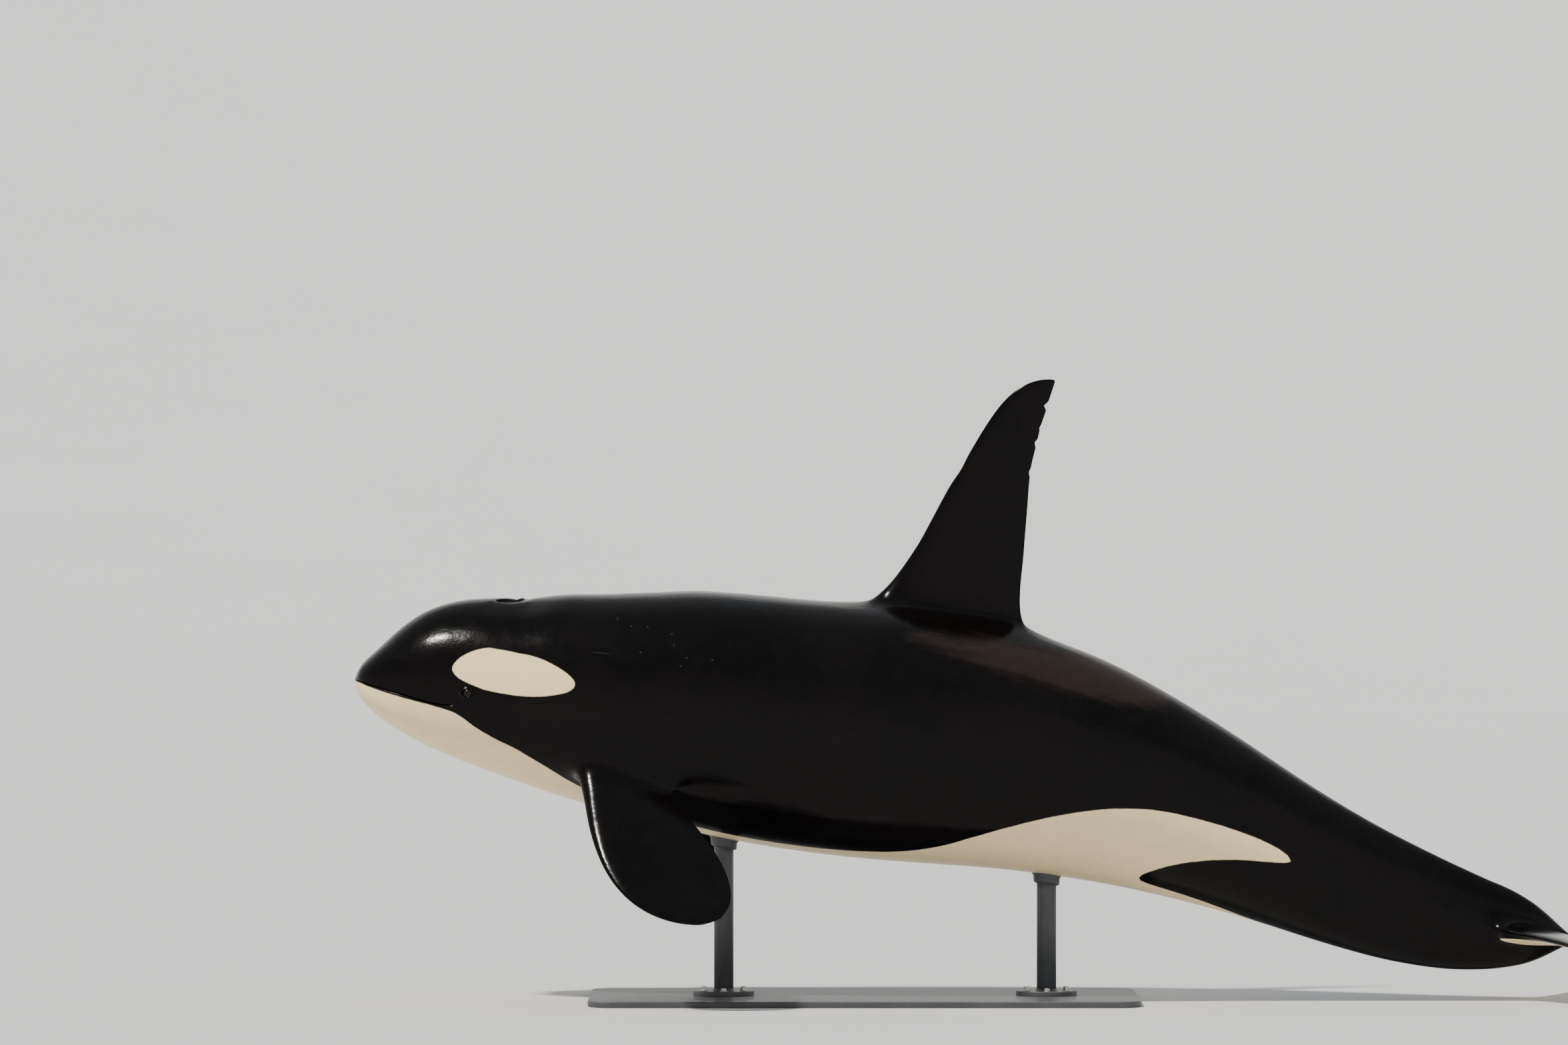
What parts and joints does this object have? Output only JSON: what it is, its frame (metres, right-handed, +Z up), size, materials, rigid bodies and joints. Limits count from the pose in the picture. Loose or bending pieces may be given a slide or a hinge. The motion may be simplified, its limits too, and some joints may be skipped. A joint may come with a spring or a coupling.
{
  "type": "orca",
  "caption": "Life-size young male orca cruising at the surface: tall curved dorsal fin, paddle flippers, broad flukes and open blowhole, held on a flat steel stand by two rods.",
  "frame": {"origin": "on the floor, at the centre of the model's box seen from above", "axes": "+Z up, the snout towards -X and the flukes towards +X, the left side towards -Y"},
  "size_m": [6.1094, 1.9548, 3.0581],
  "materials": {
    "skin_black": "smooth wet black skin, with pale chin, belly and eye patches in the render",
    "skin_white": "smooth wet white skin",
    "eye": "dark glossy eye",
    "stand_steel": "satin dark grey paint on steel"
  },
  "bodies": {
    "root": {"head": "skin_black", "lower_jaw": "skin_white", "eye_left": "eye", "eye_right": "eye", "chest": "skin_black", "midbody": "skin_black", "loin": "skin_black", "tail_stock": "skin_black", "dorsal_fin": "skin_black", "flipper_left": "skin_black", "flipper_right": "skin_black", "fluke_left": "skin_black", "fluke_right": "skin_black", "stand_base": "stand_steel", "stand_foot_front": "stand_steel", "stand_foot_rear": "stand_steel", "stand_rod_front": "stand_steel", "stand_rod_rear": "stand_steel"}
  },
  "joints": []
}
